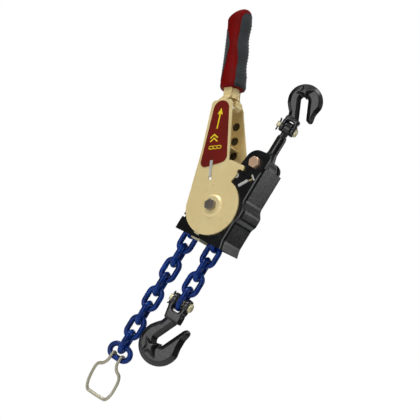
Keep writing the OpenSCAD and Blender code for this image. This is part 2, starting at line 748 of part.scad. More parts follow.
// The grip's width along its length, as a smooth waist
function grip_r(t) = grip_width / 2
    + (t < 0.58 ? 3.5 * pow((0.58 - t) / 0.58, 2) : 1.8 * pow((t - 0.58) / 0.42, 2))
    - (t < 0.05 ? 3.5 * pow(1 - t / 0.05, 2) : 0) - (t > 0.93 ? 7 * pow((t - 0.93) / 0.07, 2) : 0);
module grip_core() {
    rings = 18;
    color("#8f0d12") at_lever() translate([handle_x, grip_start, 0]) rotate([-90, 0, 0]) difference() {
        rotate_extrude($fn = 64) polygon(concat(
            [[0, 0]], [for (i = [0:rings]) [grip_r(i / rings) - 2, grip_length * i / rings]], [[0, grip_length]]));
        translate([0, 0, -1]) cylinder(r = neck_out - lever_plate + 0.2, h = tube_top - grip_start + 1.3);
        for (s = [-1, 1]) translate([-neck_width / 2 - 0.3, s > 0 ? neck_out - lever_plate - 0.3 : -neck_out - 0.3, -1])
            cube([neck_width + 0.6, lever_plate + 0.6, 14]);
        grip_cut(0.15);
    }
}
// The space of the two soft panels, on the front-right and back-left of the core
module grip_cut(clear) {
    for (a = [pad_turn, pad_turn + 180]) rotate([0, 0, a]) translate([grip_width / 2 - 7 - clear, -13 - clear, 10 - clear])
        cube([20, 26 + 2 * clear, grip_length - 24 + 2 * clear]);
}
pad_turn = 20;
module grip_pads() {
    rings = 18;
    color("#3c4043") at_lever() translate([handle_x, grip_start, 0]) rotate([-90, 0, 0]) intersection() {
        rotate_extrude($fn = 64) polygon(concat(
            [[0, 0]], [for (i = [0:rings]) [grip_r(i / rings), grip_length * i / rings]], [[0, grip_length]]));
        grip_cut(0);
    }
}

// ---------------------------------------------------------------- chain
// A link in the X-Z plane with its middle at the origin
module link() {
    color(blue) for (s = [0, 180]) rotate([0, s, 0]) {
        translate([0, 0, link_straight / 2]) rotate([90, 0, 0]) rotate_extrude(angle = 180)
            translate([link_bend, 0]) circle(d = chain_wire);
        translate([link_bend, 0, -link_straight / 2]) cylinder(d = chain_wire, h = link_straight);
    }
}
module hanging_link(x, i) {
    translate([x, 0, link_z(i)]) rotate([0, 0, link_twist(i) + (i % 2 == 0 ? 90 : 0)]) link();
}
module wrapped_link(a, flat) {
    radius = flat ? flat_reach / tan(half_pocket) : upright_reach / tan(60 - half_pocket);
    translate([axle_x, 0, axle_z]) rotate([0, -a, 0]) translate([radius, 0, 0]) rotate([0, 0, flat ? 90 : 0]) link();
}
module wrap_link_1() {
    wrapped_link(150, true);
}
module wrap_link_2() {
    wrapped_link(90, false);
}
module wrap_link_3() {
    wrapped_link(30, true);
}
// The last link of the tail lies crosswise: its upper leg rests in the link above
last_leg_z = link_z(tail_links - 1) - link_inside / 2 + chain_wire / 2 + side_gap;
last_turn = link_twist(tail_links) + (tail_links % 2 == 0 ? 90 : 0);
module crosswise_link() {
    translate([tail_x, 0, last_leg_z - link_bend]) rotate([0, 0, last_turn]) rotate([0, 90, 0]) link();
}
module tail_link(i) {
    if (i < tail_links) hanging_link(tail_x, i);
    else crosswise_link();
}
function unit(v) = v / norm(v);
function carry(u, t) = unit(u - (u * t) * t);
function spline_at(a, b, c, d, t) =
    0.5 * (2 * b + (c - a) * t + (2 * a - 5 * b + 4 * c - d) * t * t + (3 * b - a - 3 * c + d) * t * t * t);
function closed_spline(p, steps) = let (n = len(p))
    [for (i = [0:n - 1], k = [0:steps - 1])
        spline_at(p[(i + n - 1) % n], p[i], p[(i + 1) % n], p[(i + 2) % n], k / steps)];
// A closed wire along a smooth path
module closed_wire(path, r, first) {
    sides = 8;
    n = len(path);
    along = [for (i = [0:n - 1]) unit(path[(i + 1) % n] - path[(i + n - 1) % n])];
    side = [for (i = 0, v = carry(first, along[0]); i < n; i = i + 1, v = i < n ? carry(v, along[i]) : v) v];
    points = [for (i = [0:n - 1], k = [0:sides - 1]) let (a = 360 * k / sides)
        path[i] + r * (cos(a) * side[i] + sin(a) * cross(along[i], side[i]))];
    faces = [for (i = [0:n - 1], k = [0:sides - 1]) let (
        p = i * sides + k, q = i * sides + (k + 1) % sides,
        p2 = ((i + 1) % n) * sides + k, q2 = ((i + 1) % n) * sides + (k + 1) % sides)
        each [[p, q2, q], [p, p2, q2]]];
    polyhedron(points = points, faces = faces);
}
// The ring reaches over the last link's lower leg from the front and closes behind it
module pull_ring() {
    w = ring_width / 2 - ring_wire / 2;
    h = ring_height - ring_wire;
    half = [
        [8.8, 9.2, 3.6], [9.1, 7.2, 6.5], [9, 0.5, 7.9], [9, -6.2, 5.7], [9.2, -8, 0], [9.6, -7.8, -9],
        [15, -6.6, -16.5], [w - 3, -4.6, -21], [w, -1.2, -31], [w - 1, 3, 18 - h], [w - 6, 5.6, 7 - h], [w - 14, 7, 5 - h]
    ];
    n = len(half);
    loop = concat([[0, 9.2, 3.4]], half, [for (i = [n - 1:-1:0]) [-half[i][0], half[i][1], half[i][2]]]);
    color(gold) translate([tail_x, 0, last_leg_z - 2 * link_bend]) rotate([0, 0, last_turn])
        closed_wire(closed_spline(loop, 4), ring_wire / 2, [0, 0, 1]);
}

housing();
pivot_bolt();
pivot_nut();
pivot_spacers();
cross_pin();
chain_guide();
spring_seat();
shank();
top_hook();
top_hook_pin();
top_split_pin();
axle_bolt();
axle_nut();
axle_washers();
wheel_bushes();
chain_wheel();
front_ratchet();
rear_ratchet();
holding_pawl();
holding_springs();
lever_body();
label_plate();
spring_bracket();
handle_tube();
drive_pawl();
finger_pull();
drive_spring();
grip_core();
grip_pads();
wrap_link_1();
wrap_link_2();
wrap_link_3();
for (i = [1:tail_links]) tail_link(i);
for (i = [1:load_links]) hanging_link(0, i);
load_hook();
load_hook_pin();
load_split_pin();
pull_ring();
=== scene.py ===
"""Looks of a chain come-along: a pressed ratchet lever, a folded frame, two grab hooks and a blue chain."""

from __future__ import annotations

import json
import logging
import math
from collections.abc import Iterable, Sequence
from dataclasses import dataclass
from enum import Enum
from functools import cache

import bmesh
import bpy
from mathutils import Matrix, Vector


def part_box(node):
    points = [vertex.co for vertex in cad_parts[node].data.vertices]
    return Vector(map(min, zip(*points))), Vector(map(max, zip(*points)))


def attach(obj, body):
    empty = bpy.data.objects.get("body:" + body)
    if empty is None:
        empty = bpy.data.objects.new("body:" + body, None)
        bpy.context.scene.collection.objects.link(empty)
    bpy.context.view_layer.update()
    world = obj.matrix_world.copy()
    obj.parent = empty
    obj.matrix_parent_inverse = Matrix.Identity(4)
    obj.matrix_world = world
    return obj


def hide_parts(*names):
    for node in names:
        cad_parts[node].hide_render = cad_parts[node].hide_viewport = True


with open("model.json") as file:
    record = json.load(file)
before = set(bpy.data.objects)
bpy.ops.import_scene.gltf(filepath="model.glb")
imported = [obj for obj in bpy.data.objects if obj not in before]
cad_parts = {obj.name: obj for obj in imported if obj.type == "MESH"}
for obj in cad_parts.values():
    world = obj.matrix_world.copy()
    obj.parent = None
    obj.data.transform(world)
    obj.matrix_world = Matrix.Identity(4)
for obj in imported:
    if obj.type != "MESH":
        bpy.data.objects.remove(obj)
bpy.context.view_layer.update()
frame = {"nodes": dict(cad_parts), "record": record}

LOG = logging.getLogger("come_along")
MM = 0.001
SHARP_PAST = 38.0
ALL_SMOOTH = 180.0
NODES = frame["nodes"]
RECORD = frame["record"]
SLOT_OF = {part["node"]: part["material_slot"] for part in RECORD["subparts"]}
BODY_OF = {node: body for body, nodes in RECORD["behaviour"]["bodies"].items() for node in nodes}

Triple = tuple[float, float, float]
Colour = Triple
Spot = tuple[float, float]
Span = tuple[float, float]
Shape = bmesh.types.BMesh
Vert = bmesh.types.BMVert
Edge = bmesh.types.BMEdge
Face = bmesh.types.BMFace
Socket = bpy.types.NodeSocket
Material = bpy.types.Material
Piece = bpy.types.Object


class Slot(Enum):
    """The record's material slots that new pieces take their finish from."""

    FRAME = "frame_paint"
    FORGING = "forging_black"
    YELLOW = "yellow_zinc"
    WHITE = "white_zinc"
    COPPER = "copper_plate"
    CAST = "cast_steel"
    BRONZE = "bush_bronze"
    CHAIN = "chain_blue"
    LABEL = "label_red"
    GRIP = "grip_red"
    PAD = "grip_grey"


# ---- shader maths


@dataclass(frozen=True)
class Field:
    """A shader socket that takes part in sums, differences and products."""

    shader: Shader
    socket: Socket

    def _of(self, kind: str, settings: dict, sockets: dict) -> Field:
        """A new node's first output."""
        return Field(self.shader, self.shader.out(kind, settings, sockets))

    def _with(self, operation: str, *values: Field | float) -> Field:
        """One Math node on the given values."""
        return self._of("ShaderNodeMath", {"operation": operation}, dict(enumerate(values)))

    def __add__(self, other: Field | float) -> Field:
        """self + other."""
        return self._with("ADD", self, other)

    def __sub__(self, other: Field | float) -> Field:
        """self - other."""
        return self._with("SUBTRACT", self, other)

    def __rsub__(self, other: float) -> Field:
        """other - self."""
        return self._with("SUBTRACT", other, self)

    def __mul__(self, other: Field | float) -> Field:
        """self * other."""
        return self._with("MULTIPLY", self, other)

    def clamp(self) -> Field:
        """The value held between 0 and 1."""
        return self._of("ShaderNodeClamp", {}, {"Value": self})

    def smooth(self, low: float, high: float) -> Field:
        """A soft step from 0 at low to 1 at high."""
        sockets = {"Value": self, "From Min": low, "From Max": high}
        return self._of("ShaderNodeMapRange", {"interpolation_type": "SMOOTHSTEP"}, sockets)


class Shader:
    """The node tree of a material or of the world, built node by node."""

    def __init__(self, owner: Material | bpy.types.World) -> None:
        """Empties the owner's node tree."""
        owner.use_nodes = True
        self.owner = owner
        self.tree = owner.node_tree
        self.tree.nodes.clear()

    @classmethod
    def named(cls, name: str) -> Shader:
        """A new material's tree."""
        return cls(bpy.data.materials.new(name))

    def add(self, kind: str, settings: dict, sockets: dict) -> bpy.types.Node:
        """Adds a node.

        Args:
            kind: the node's type.
            settings: its settings, a ramp's stops among them, set first.
            sockets: socket names or numbers to a number, a colour, a Field or a socket.

        Returns:
            The new node.
        """
        node = self.tree.nodes.new(kind)
        for key, value in settings.items():
            if key == "stops":
                while len(node.color_ramp.elements) < len(value):
                    node.color_ramp.elements.new(0.5)
                for element, (place, shade) in zip(node.color_ramp.elements, value):
                    element.position = place
                    element.color = (*shade, 1.0) if isinstance(shade, tuple) else (shade, shade, shade, 1.0)
            else:
                setattr(node, key, value)
        for key, value in sockets.items():
            socket = node.inputs[key]
            if isinstance(value, Field):
                self.tree.links.new(value.socket, socket)
            elif isinstance(value, Socket):
                self.tree.links.new(value, socket)
            elif isinstance(value, tuple) and len(value) == 3 and socket.type == "RGBA":
                socket.default_value = (*value, 1.0)
            else:
                socket.default_value = value
        return node

    def out(self, kind: str, settings: dict, sockets: dict) -> Socket:
        """Adds a node and gives its first output."""
        return self.add(kind, settings, sockets).outputs[0]

    def coordinates(self, scale: Triple = (1.0, 1.0, 1.0), turn: float = 0.0) -> Socket:
        """Object coordinates, stretched by scale after a turn about Y in radians."""
        place = self.add("ShaderNodeTexCoord", {}, {}).outputs["Object"]
        if turn:
            place = self.out("ShaderNodeMapping", {}, {"Vector": place, "Rotation": (0.0, turn, 0.0)})
        return self.out("ShaderNodeMapping", {}, {"Vector": place, "Scale": scale})

    def noise(self, scale: float, detail: float = 3.0, vector: Socket | None = None) -> Field:
        """Fractal noise between 0 and 1 on object coordinates."""
        vector = vector or self.coordinates()
        sockets = {"Vector": vector, "Scale": scale, "Detail": detail}
        return Field(self, self.out("ShaderNodeTexNoise", {}, sockets))

    def cells(self, scale: float, vector: Socket | None = None) -> Field:
        """Distance to the nearest of scattered points."""
        vector = vector or self.coordinates()
        node = self.add("ShaderNodeTexVoronoi", {}, {"Vector": vector, "Scale": scale})
        return Field(self, node.outputs["Distance"])

    def mark(self, name: str) -> Field:
        """A value that the mesh carries at each vertex."""
        node = self.add("ShaderNodeAttribute", {"attribute_name": name}, {})
        return Field(self, node.outputs["Fac"])

    def mix(self, factor: Field | float, low: Colour | Socket, high: Colour | Socket) -> Socket:
        """A colour between low and high."""
        node = self.add("ShaderNodeMix", {"data_type": "RGBA"}, {0: factor, 6: low, 7: high})
        return node.outputs[2]

    def bump(self, height: Field, depth: float, base: Socket | None = None) -> Socket:
        """A normal from a height between 0 and 1 that stands depth metres deep."""
        sockets = {"Height": height, "Distance": depth, "Strength": 1.0}
        if base is not None:
            sockets["Normal"] = base
        return self.out("ShaderNodeBump", {}, sockets)

    def finish(self, sockets: dict) -> Material:
        """Closes the material with one surface shader of the given sockets."""
        surface = self.add("ShaderNodeBsdfPrincipled", {}, sockets)
        self.add("ShaderNodeOutputMaterial", {}, {0: surface.outputs[0]})
        return self.owner


# ---- finishes


@dataclass(frozen=True)
class Paint:
    """Black stoving paint or dip lacquer on steel, rubbed bare at the edges."""

    name: str
    base: Colour = (0.0045, 0.0047, 0.0052)
    dusty: Colour = (0.013, 0.0134, 0.014)
    bare: Colour = (0.30, 0.30, 0.30)
    roughness: float = 0.25
    lumps: float = 55.0
    lump_depth: float = 0.0003
    peel: float = 700.0
    peel_depth: float = 0.000012
    wear: float = 0.55
    nicks: float = 0.15
    nick_stretch: Triple = (1.0, 1.0, 5.0)
    nick_turn: float = 0.4

    def build(self) -> Material:
        """Makes the material."""
        s = Shader.named(self.name)
        cloud = s.noise(38.0, 4.0)
        fine = s.noise(420.0, 4.0)
        rubbed = s.mark("edge") * (fine * 0.7 + cloud * 0.6)
        rubbed = rubbed.smooth(0.95 - self.wear, 1.15 - self.wear * 0.7)
        nicks = s.noise(160.0, 2.0, s.coordinates(self.nick_stretch, self.nick_turn)).smooth(0.76, 0.79)
        worn = (rubbed + nicks * self.nicks).clamp()
        shade = s.mix(cloud.smooth(0.42, 0.75) * 0.55, self.base, self.dusty)
        height = s.bump(s.noise(self.lumps, 3.0), self.lump_depth)
        height = s.bump(s.noise(self.peel, 2.0), self.peel_depth, height)
        return s.finish({
            "Base Color": s.mix(worn * 0.8, shade, self.bare),
            "Metallic": worn * 0.7,
            "Roughness": (fine - 0.5) * 0.06 + cloud * 0.12 + (self.roughness - 0.04),
            "Coat Weight": 0.25,
            "Coat Roughness": 0.16,
            "Normal": height,
        })


@dataclass(frozen=True)
class Plating:
    """Zinc, copper or bare steel with a passivated, slightly cloudy skin."""

    name: str
    base: Colour
    tint: Colour
    dark: Colour
    metallic: float
    roughness: float
    grain_turn: float = 0.0
    grain: float = 0.10
    dent_depth: float = 0.00012
    wear: float = 0.5
    dust: float = 0.25
    grain_stretch: Triple = (1.0, 1.0, 0.06)
    scratch_stretch: Triple = (1.0, 0.4, 0.05)
    scratch_turn: float = 0.5
    rubbed: Colour = (0.86, 0.84, 0.78)
    scratched: Colour = (0.90, 0.88, 0.82)

    def build(self) -> Material:
        """Makes the material."""
        s = Shader.named(self.name)
        cloud = s.noise(26.0, 5.0)
        film = s.noise(75.0, 3.0)
        brushed = s.noise(900.0, 2.0, s.coordinates(self.grain_stretch, self.grain_turn))
        speck = 1.0 - s.cells(520.0).smooth(0.05, 0.22)
        drawn = s.coordinates(self.scratch_stretch, self.grain_turn + self.scratch_turn)
        scratch = s.noise(240.0, 1.0, drawn).smooth(0.70, 0.74)
        shade = s.mix(cloud.smooth(0.3, 0.75), self.base, self.tint)
        shade = s.mix(film.smooth(0.55, 0.9) * self.dust, shade, self.dark)
        shade = s.mix(speck * 0.18, shade, self.dark)
        edge = (s.mark("edge") * (film * 0.8 + 0.35)).clamp() * self.wear
        shade = s.mix(edge * 0.5, shade, self.rubbed)
        height = s.bump(s.noise(140.0, 2.0), self.dent_depth)
        height = s.bump(brushed, 0.00002, height)
        return s.finish({
            "Base Color": s.mix(scratch * 0.35, shade, self.scratched),
            "Metallic": self.metallic,
            "Roughness": (brushed - 0.5) * self.grain + (film - 0.5) * 0.16 + self.roughness - edge * 0.12,
            "Normal": height,
        })


@dataclass(frozen=True)
class ChainLacquer:
    """Blue lacquer on load chain, its tone varying at random, scuffed where links bear on each other."""

    name: str = "chain_lacquer"
    base: Colour = (0.0008, 0.028, 0.190)
    deep: Colour = (0.0005, 0.010, 0.075)
    bright: Colour = (0.003, 0.058, 0.300)
    steel: Colour = (0.09, 0.17, 0.36)

    def build(self) -> Material:
        """Makes the material."""
        s = Shader.named(self.name)
        cloud = s.noise(60.0, 4.0)
        fine = s.noise(500.0, 3.0)
        shade = s.mix(cloud.smooth(0.25, 0.55), self.deep, self.base)
        shade = s.mix(cloud.smooth(0.52, 0.8), shade, self.bright)
        scuff = (s.mark("edge") * (fine + cloud * 0.5)).smooth(0.62, 0.86)
        nick = s.noise(230.0, 1.0).smooth(0.76, 0.79)
        worn = (scuff + nick * 0.7).clamp()
        height = s.bump(s.noise(170.0, 3.0), 0.00022)
        height = s.bump(s.noise(1100.0, 2.0), 0.00003, height)
        return s.finish({
            "Base Color": s.mix(worn * 0.5, shade, self.steel),
            "Metallic": worn * 0.5 + 0.1,
            "Roughness": (fine - 0.5) * 0.16 + 0.30,
            "Specular IOR Level": 0.2,
            "Coat Weight": 0.1,
            "Coat Roughness": 0.06,
            "Normal": height,
        })


@dataclass(frozen=True)
class Moulding:
    """Moulded plastic or soft rubber with a fine leathery grain."""

    name: str
    base: Colour
    shade: Colour
    scuff: Colour
    roughness: float
    grain: float
    grain_depth: float
    sheen: float = 0.0
    gloss: float = 0.25

    def build(self) -> Material:
        """Makes the material."""
        s = Shader.named(self.name)
        cloud = s.noise(45.0, 4.0)
        fine = s.noise(self.grain, 3.0)
        pores = s.cells(self.grain * 0.8)
        colour = s.mix(cloud.smooth(0.3, 0.8), self.base, self.shade)
        rub = s.noise(210.0, 5.0).smooth(0.6, 0.85) * 0.35 + s.mark("edge") * 0.25
        colour = s.mix(rub.clamp(), colour, self.scuff)
        height = s.bump(pores.smooth(0.1, 0.7), self.grain_depth)
        height = s.bump(s.noise(120.0, 2.0), 0.0001, height)
        return s.finish({
            "Base Color": colour,
            "Roughness": (fine - 0.5) * 0.22 + cloud * 0.08 + self.roughness,
            "Specular IOR Level": self.gloss,
            "Sheen Weight": self.sheen,
            "Sheen Roughness": 0.5,
            "Normal": height,
        })


Finish = Paint | Plating | ChainLacquer | Moulding
FINISHES = {
    Slot.FRAME: Paint("frame_stoving_paint"),
    Slot.FORGING: Paint("forging_lacquer", lumps=110.0, lump_depth=0.0004, wear=0.42, nicks=0.25),
    Slot.YELLOW: Plating(
        "yellow_passivated_zinc", (0.84, 0.67, 0.32), (0.88, 0.72, 0.36), (0.36, 0.26, 0.12),
        metallic=0.35, roughness=0.42, grain_turn=math.radians(30.5)),
    Slot.WHITE: Plating(
        "white_zinc_plate", (0.66, 0.67, 0.64), (0.74, 0.73, 0.62), (0.30, 0.30, 0.28),
        metallic=0.45, roughness=0.33),
    Slot.COPPER: Plating(
        "coppery_zinc_plate", (0.76, 0.48, 0.30), (0.70, 0.55, 0.42), (0.30, 0.22, 0.17),
        metallic=0.7, roughness=0.45),
    Slot.CAST: Plating(
        "machined_cast_steel", (0.20, 0.20, 0.205), (0.30, 0.29, 0.28), (0.05, 0.045, 0.04),
        metallic=0.85, roughness=0.48),
    Slot.BRONZE: Plating(
        "oily_bronze", (0.42, 0.26, 0.10), (0.50, 0.33, 0.15), (0.12, 0.08, 0.04),
        metallic=0.9, roughness=0.4),
    Slot.CHAIN: ChainLacquer(),
    Slot.LABEL: Moulding(
        "label_enamel", (0.155, 0.008, 0.004), (0.125, 0.006, 0.003), (0.22, 0.025, 0.015),
        roughness=0.34, grain=2200.0, grain_depth=0.00002),
    Slot.GRIP: Moulding(
        "grip_hard_plastic", (0.165, 0.0012, 0.0008), (0.120, 0.001, 0.0006), (0.20, 0.006, 0.005),
        roughness=0.48, grain=1500.0, grain_depth=0.00004, gloss=0.08),
    Slot.PAD: Moulding(
        "grip_soft_rubber", (0.017, 0.021, 0.023), (0.026, 0.031, 0.033), (0.055, 0.062, 0.064),
        roughness=0.62, grain=1200.0, grain_depth=0.0001, sheen=0.15),
}
WIRE_ZINC = Plating(
    "dull_wire_zinc", (0.40, 0.38, 0.27), (0.47, 0.44, 0.33), (0.16, 0.14, 0.09),
    metallic=0.5, roughness=0.34, grain=0.04, dent_depth=0.00003, dust=0.1)
PIN_ZINC = Plating(
    "pin_yellow_zinc", (0.66, 0.60, 0.36), (0.76, 0.71, 0.48), (0.24, 0.20, 0.11),
    metallic=0.5, roughness=0.36, dust=0.5)
DARK_STEEL = Plating(
    "oiled_spring_steel", (0.10, 0.10, 0.10), (0.16, 0.155, 0.15), (0.03, 0.03, 0.03),
    metallic=0.8, roughness=0.38)
BOLT_STEEL = Plating(
    "browned_bolt_steel", (0.27, 0.235, 0.195), (0.38, 0.34, 0.28), (0.06, 0.05, 0.04),
    metallic=0.85, roughness=0.36, dust=0.6)
# Dark, dull zinc that paints the shade seen in the far cheek's openings: painted shade, not a finish the
# tool has.
PAINTED_SHADE_ZINC = Plating(
    "painted_shade_zinc", (0.045, 0.037, 0.022), (0.070, 0.058, 0.035), (0.015, 0.012, 0.008),
    metallic=0.2, roughness=0.5, wear=0.1)
PRINT_YELLOW = Moulding(
    "print_yellow", (0.80, 0.62, 0.02), (0.74, 0.55, 0.02), (0.50, 0.33, 0.03),
    roughness=0.4, grain=2200.0, grain_depth=0.00001)


@cache
def material_of(finish: Finish) -> Material:
    """The finish's material, made once."""
    return finish.build()


# ---- mesh helpers


def as_mesh(name: str, shape: Shape) -> bpy.types.Mesh:
    """Turns a bmesh into a mesh and frees it."""
    mesh = bpy.data.meshes.new(name)
    shape.to_mesh(mesh)
    shape.free()
    return mesh


def add_object(name: str, data: bpy.types.ID) -> Piece:
    """A new object in the scene."""
    made = bpy.data.objects.new(name, data)
    bpy.context.scene.collection.objects.link(made)
    return made


def hand_over(name: str, shape: Shape, body: str, slot: Slot, replaced: Sequence[str] = (),
              finish: Finish | None = None, sharp: float = SHARP_PAST) -> Piece:
    """Turns a bmesh into a piece of the tool.

    Args:
        name: the piece's name.
        shape: its mesh, which is used up.
        body: the body that it rides on.
        slot: the material slot that it stands for.
        replaced: the nodes that it stands for.
        finish: its finish, where that differs from the slot's own.
        sharp: angle in degrees past which an edge stays sharp.

    Returns:
        The new object.
    """
    for face in shape.faces:
        face.smooth = True
    mesh = as_mesh(name, shape)
    mesh.set_sharp_from_angle(angle=math.radians(sharp))
    mesh.materials.append(material_of(finish or FINISHES[slot]))
    piece = add_object(name, mesh)
    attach(piece, body)
    if replaced:
        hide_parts(*replaced)
    LOG.info("%s: %d faces on %s", name, len(mesh.polygons), body)
    return piece


def node_shape(node: str) -> Shape:
    """A merged copy of a node's mesh."""
    shape = bmesh.new()
    shape.from_mesh(NODES[node].data)
    shape.verts.layers.float.new("edge")
    bmesh.ops.remove_doubles(shape, verts=shape.verts, dist=4e-6)
    return shape


def set_mark(shape: Shape, verts: Iterable[Vert], value: float = 1.0) -> None:
    """Marks vertices as an edge that gets rubbed."""
    layer = shape.verts.layers.float["edge"]
    for vert in verts:
        vert[layer] = value


def stand_in(node: str, shape: Shape, finish: Finish | None = None, sharp: float = SHARP_PAST) -> Piece:
    """Turns a bmesh into the shown form of a node, in the node's slot and on its body."""
    return hand_over(f"{node}_shown", shape, BODY_OF[node], Slot(SLOT_OF[node]), [node], finish, sharp)


def soften(shape: Shape, edges: Sequence[Edge], width: float, segments: int,
           clamp: bool = False) -> list[Face]:
    """Rounds edges by a width in millimetres, held off its neighbour by clamp, and gives the new faces."""
    made = bmesh.ops.bevel(shape, geom=edges, offset=width * MM, offset_type="OFFSET", affect="EDGES",
                           segments=segments, profile=0.5, material=-1, clamp_overlap=clamp)
    return made["faces"]


def modify(piece: Piece, name: str, kind: str, **settings: float | str) -> None:
    """Gives a piece a modifier with the given settings."""
    modifier = piece.modifiers.new(name, kind)
    for key, value in settings.items():
        setattr(modifier, key, value)


def outward(shape: Shape) -> Shape:
    """Turns every face's front outwards."""
    bmesh.ops.recalc_face_normals(shape, faces=shape.faces)
    return shape


def put(shape: Shape, place: Matrix) -> None:
    """Moves a whole shape to its place."""
    bmesh.ops.transform(shape, matrix=place, verts=shape.verts)


def level_edges(shape: Shape, axis: int) -> list[Edge]:
    """The edges that lie square to an axis."""
    return [e for e in shape.edges if abs(e.verts[0].co[axis] - e.verts[1].co[axis]) < 1e-7]


def draw_out(shape: Shape, faces: Sequence[Face], move: Triple) -> list[Vert]:
    """Extrudes faces by a move in metres and gives the new corners."""
    made = bmesh.ops.extrude_face_region(shape, geom=faces)
    moved = [g for g in made["geom"] if isinstance(g, Vert)]
    bmesh.ops.translate(shape, verts=moved, vec=move)
    return moved


def about(axis: str, degrees: float) -> Matrix:
    """A turn about an axis."""
    return Matrix.Rotation(math.radians(degrees), 4, axis)


def aimed(place: Vector, away: Vector) -> Matrix:
    """A place whose Z points along a direction."""
    return Matrix.Translation(place) @ away.to_track_quat("Z", "Y").to_matrix().to_4x4()


def on_circle(degrees: float, radius: float = 1.0) -> Spot:
    """A point of a circle about the origin."""
    return radius * math.cos(math.radians(degrees)), radius * math.sin(math.radians(degrees))


@dataclass
class MachinedPiece:
    """A node with its true edges broken, as pressing, turning or filing leaves them."""

    node: str
    edge: float
    segments: int = 2
    angle: float = 27.0
    finish: Finish | None = None
    flat: float = 0.6

    def build(self) -> Shape:
        """The node's shape with rounded edges and marks on them."""
        shape = node_shape(self.node)
        flat = math.radians(self.flat)
        bmesh.ops.dissolve_limit(shape, angle_limit=flat, verts=shape.verts, edges=shape.edges)
        keen = [e for e in shape.edges
                if len(e.link_faces) == 2 and e.calc_face_angle(0.0) > math.radians(self.angle)]
        rounded = {f for f in soften(shape, keen, self.edge, self.segments, clamp=True) if f.is_valid}
        set_mark(shape, {v for f in rounded for v in f.verts if all(g in rounded for g in v.link_faces)})
        bmesh.ops.triangulate(shape, faces=[f for f in shape.faces if len(f.verts) > 4])
        return shape

    def dress(self) -> None:
        """Puts the piece in place of its node and keeps its flat faces flat."""
        piece = stand_in(self.node, self.build(), self.finish)
        modify(piece, "even", "WEIGHTED_NORMAL", keep_sharp=True)


@dataclass
class ForgedPiece:
    """A node as a drop forging: one flowing skin with softened corners."""

    node: str
    cell: float = 0.7
    passes: int = 5
    mark_share: float = 0.9

    def blank(self) -> Shape:
        """The shape before its corners are softened."""
        return node_shape(self.node)

    def dress(self) -> None:
        """Builds the piece and puts it in place of its node."""
        blank = add_object("forging_blank", as_mesh("forging_blank", self.blank()))
        modify(blank, "skin", "REMESH", mode="VOXEL", voxel_size=self.cell * MM)
        graph = bpy.context.evaluated_depsgraph_get()
        skin = bpy.data.meshes.new_from_object(blank.evaluated_get(graph))
        bpy.data.objects.remove(blank)
        shape = bmesh.new()
        shape.from_mesh(skin)
        before = {v.index: v.co.copy() for v in shape.verts}
        for _ in range(self.passes):
            bmesh.ops.smooth_vert(shape, verts=shape.verts, factor=0.5,
                                  use_axis_x=True, use_axis_y=True, use_axis_z=True)
        layer = shape.verts.layers.float.new("edge")
        for vert in shape.verts:
            moved = (vert.co - before[vert.index]).length
            vert[layer] = min(1.0, moved / (self.cell * MM * self.mark_share))
        stand_in(self.node, shape, sharp=ALL_SMOOTH)


def slab(outline: Sequence[Spot], low: float, high: float, edge: float, segments: int = 2) -> Shape:
    """A flat plate in the XZ plane with broken edges.

    Args:
        outline: its corners in millimetres.
        low: its face towards -Y in millimetres.
        high: its face towards +Y in millimetres.
        edge: width of the chamfer along its rim in millimetres.
        segments: steps in that chamfer.

    Returns:
        The closed plate.
    """
    shape = bmesh.new()
    face = shape.faces.new([shape.verts.new((x * MM, low * MM, z * MM)) for x, z in outline])
    draw_out(shape, [face], (0.0, (high - low) * MM, 0.0))
    outward(shape)
    if edge:
        soften(shape, level_edges(shape, 1), edge, segments)
    return shape


def gather(into: Shape, part: Shape) -> None:
    """Adds a shape to another and frees it."""
    mesh = as_mesh("gathered", part)
    into.from_mesh(mesh)
    bpy.data.meshes.remove(mesh)


